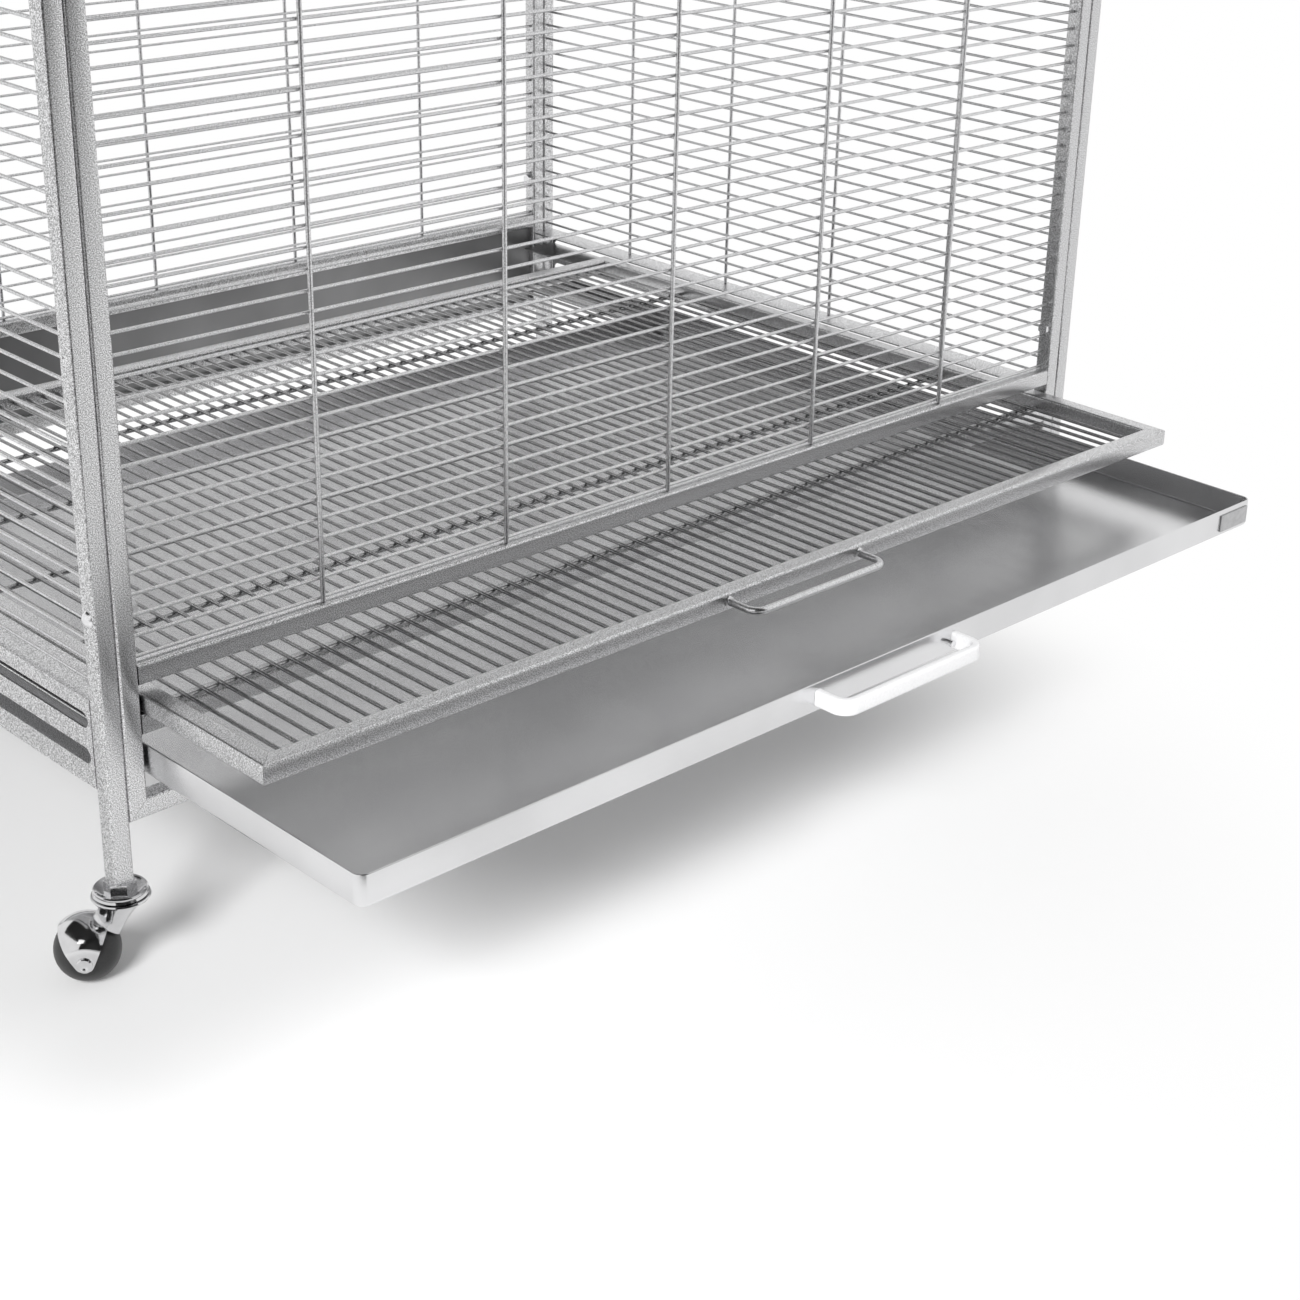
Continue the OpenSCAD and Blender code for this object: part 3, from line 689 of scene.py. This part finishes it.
SHEET_NODES = ("left_side_plate", "right_side_plate", "left_runners", "right_runners", "back_skirt")
EDGED_NODES = ("hinge_leaves", "left_door_leaves", "right_door_leaves", "latch_lever", "latch_keeper",
               "tray_corner_plate")
for sheet_node in SHEET_NODES:
    paint(sheet_node, SHEET_EDGE)
for edged_node in EDGED_NODES:
    paint(edged_node, FASTENER_EDGE)
for plain_node in NODES:
    if not NODES[plain_node].hide_render and plain_node not in SHEET_NODES + EDGED_NODES:
        paint(plain_node)


# Floor, camera and light

WORLD_LIGHT = 0.22
FLOOR_LIFT = 0.1
FADE_START = 0.7
FADE_END = 1.4
SHADOW_AT = (-0.25, -0.30, 0)
SHADOW_SPREAD = (0.50, 0.50, 1)
FLOOR_REACH = 12
FLOOR_GREY = 0.86
FLOOR_ROUGH = 0.9
CARD_GREY = 0.02
CARDS_LEFT = -3.2
CARDS_FRONT = -2.4
CARDS_BACK = 3.2
CARDS_TOP = 2.8
FRONT_CARD_RIGHT = 0.8
FRONT_CARD_LOW = 0.1
TOP_CARD_RIGHT = 0.6
FLOOR_CARD_RIGHT = -0.4
FLOOR_CARD_BACK = -1.0
FLOOR_CARD_Z = 0.002
LAMP_AIM = Vector((0, 0, 0.2))


def seen_by_eye(nodes, links):
    """1 for rays from the camera and for mirrored or transmitted ones, 0 for rays that gather light."""
    path = nodes.new("ShaderNodeLightPath")
    seen = path.outputs["Is Camera Ray"]
    for kind in ("Is Glossy Ray", "Is Transmission Ray"):
        either = nodes.new("ShaderNodeMath")
        either.operation = "MAXIMUM"
        links.new(seen, either.inputs[0])
        links.new(path.outputs[kind], either.inputs[1])
        seen = either.outputs["Value"]
    return seen


def make_floor():
    """White floor that keeps the object's shadow near it and fades into the white studio."""
    mesh = bpy.data.meshes.new("floor")
    reach = FLOOR_REACH
    mesh.from_pydata([(-reach, -reach, 0), (reach, -reach, 0), (reach, reach, 0), (-reach, reach, 0)],
                     [], [(0, 1, 2, 3)])
    floor = bpy.data.objects.new("floor", mesh)
    bpy.context.scene.collection.objects.link(floor)
    material, nodes, links, shader = new_material("floor_white")
    shader.inputs["Base Color"].default_value = (FLOOR_GREY, FLOOR_GREY, FLOOR_GREY, 1)
    shader.inputs["Roughness"].default_value = FLOOR_ROUGH
    shader.inputs["Specular IOR Level"].default_value = 0
    place = nodes.new("ShaderNodeTexCoord")
    spread = nodes.new("ShaderNodeMapping")
    spread.vector_type = "TEXTURE"
    spread.inputs["Location"].default_value = SHADOW_AT
    spread.inputs["Scale"].default_value = SHADOW_SPREAD
    links.new(place.outputs["Object"], spread.inputs["Vector"])
    distance = nodes.new("ShaderNodeVectorMath")
    distance.operation = "LENGTH"
    links.new(spread.outputs["Vector"], distance.inputs[0])
    fade = nodes.new("ShaderNodeMapRange")
    fade.interpolation_type = "SMOOTHSTEP"
    fade.inputs["From Min"].default_value = FADE_START
    fade.inputs["From Max"].default_value = FADE_END
    fade.inputs["To Min"].default_value = FLOOR_LIFT
    fade.inputs["To Max"].default_value = 1
    links.new(distance.outputs["Value"], fade.inputs["Value"])
    share = nodes.new("ShaderNodeMath")
    share.operation = "MULTIPLY"
    links.new(fade.outputs["Result"], share.inputs[0])
    links.new(seen_by_eye(nodes, links), share.inputs[1])
    white = nodes.new("ShaderNodeEmission")
    mixed = nodes.new("ShaderNodeMixShader")
    links.new(share.outputs["Value"], mixed.inputs["Fac"])
    links.new(shader.outputs["BSDF"], mixed.inputs[1])
    links.new(white.outputs["Emission"], mixed.inputs[2])
    links.new(mixed.outputs["Shader"], nodes["Material Output"].inputs["Surface"])
    mesh.materials.append(material)


def make_world():
    """White studio, white where it is seen or mirrored and dimmer where it only lights."""
    world = bpy.data.worlds.new("studio")
    bpy.context.scene.world = world
    world.use_nodes = True
    nodes, links = world.node_tree.nodes, world.node_tree.links
    background = nodes["Background"]
    level = nodes.new("ShaderNodeMapRange")
    level.inputs["To Min"].default_value = WORLD_LIGHT
    level.inputs["To Max"].default_value = 1
    links.new(seen_by_eye(nodes, links), level.inputs["Value"])
    links.new(level.outputs["Result"], background.inputs["Strength"])
    background.inputs["Color"].default_value = (1, 1, 1, 1)


def add_card(name, corner_points):
    """Black card that only mirrors see."""
    mesh = bpy.data.meshes.new(name)
    mesh.from_pydata(corner_points, [], [(0, 1, 2, 3)])
    card = bpy.data.objects.new(name, mesh)
    bpy.context.scene.collection.objects.link(card)
    card.visible_camera = False
    card.visible_diffuse = False
    card.visible_shadow = False
    material, nodes, links, shader = new_material("black_card")
    shader.inputs["Base Color"].default_value = (CARD_GREY, CARD_GREY, CARD_GREY, 1)
    shader.inputs["Roughness"].default_value = 1
    mesh.materials.append(material)


def add_softbox(name, at, size, power, mirrored=True):
    """Square lamp aimed at the cage's foot, kept out of mirrors unless mirrored."""
    lamp = bpy.data.lights.new(name, "AREA")
    lamp.shape = "SQUARE"
    lamp.size = size
    lamp.energy = power
    softbox = bpy.data.objects.new(name, lamp)
    bpy.context.scene.collection.objects.link(softbox)
    softbox.location = at
    softbox.rotation_euler = (LAMP_AIM - Vector(at)).to_track_quat("-Z", "Y").to_euler()
    softbox.visible_glossy = mirrored


def make_camera():
    """Camera fitted to the photograph."""
    lens = bpy.data.cameras.new("camera")
    lens.sensor_width = SENSOR_MM
    lens.lens = FOCAL_PX / FRAME_PX * SENSOR_MM
    lens.shift_x = (FRAME_PX / 2 - CENTRE_PX[0]) / FRAME_PX
    lens.shift_y = (CENTRE_PX[1] - FRAME_PX / 2) / FRAME_PX
    camera = bpy.data.objects.new("camera", lens)
    bpy.context.scene.collection.objects.link(camera)
    level = math.cos(CAMERA_PITCH)
    ahead = Vector((math.sin(CAMERA_YAW) * level, math.cos(CAMERA_YAW) * level, -math.sin(CAMERA_PITCH)))
    right = Vector((math.cos(CAMERA_YAW), -math.sin(CAMERA_YAW), 0))
    down = ahead.cross(right)
    tilted_right = math.cos(CAMERA_ROLL) * right + math.sin(CAMERA_ROLL) * down
    tilted_down = math.cos(CAMERA_ROLL) * down - math.sin(CAMERA_ROLL) * right
    turn = Matrix((tilted_right, -tilted_down, -ahead)).transposed()
    camera.matrix_world = Matrix.Translation(CAMERA_AT) @ turn.to_4x4()
    bpy.context.scene.camera = camera


make_floor()
make_world()
make_camera()
add_card("front_card", ((CARDS_LEFT, CARDS_FRONT, FRONT_CARD_LOW),
                        (FRONT_CARD_RIGHT, CARDS_FRONT, FRONT_CARD_LOW),
                        (FRONT_CARD_RIGHT, CARDS_FRONT, CARDS_TOP),
                        (CARDS_LEFT, CARDS_FRONT, CARDS_TOP)))
add_card("top_card", ((CARDS_LEFT, CARDS_FRONT, CARDS_TOP),
                      (TOP_CARD_RIGHT, CARDS_FRONT, CARDS_TOP),
                      (TOP_CARD_RIGHT, CARDS_BACK, CARDS_TOP),
                      (CARDS_LEFT, CARDS_BACK, CARDS_TOP)))
add_card("floor_card", ((CARDS_LEFT, CARDS_FRONT, FLOOR_CARD_Z),
                        (FLOOR_CARD_RIGHT, CARDS_FRONT, FLOOR_CARD_Z),
                        (FLOOR_CARD_RIGHT, FLOOR_CARD_BACK, FLOOR_CARD_Z),
                        (CARDS_LEFT, FLOOR_CARD_BACK, FLOOR_CARD_Z)))
add_softbox("key_light", at=(-2.3, -1.4, 1.6), size=0.9, power=82, mirrored=False)
add_softbox("fill_light", at=(1.5, -2.2, 2.4), size=1.2, power=50, mirrored=False)
add_softbox("left_panel", at=(-2.0, -1.4, 1.9), size=0.8, power=3)
bpy.context.scene.view_settings.view_transform = "Standard"
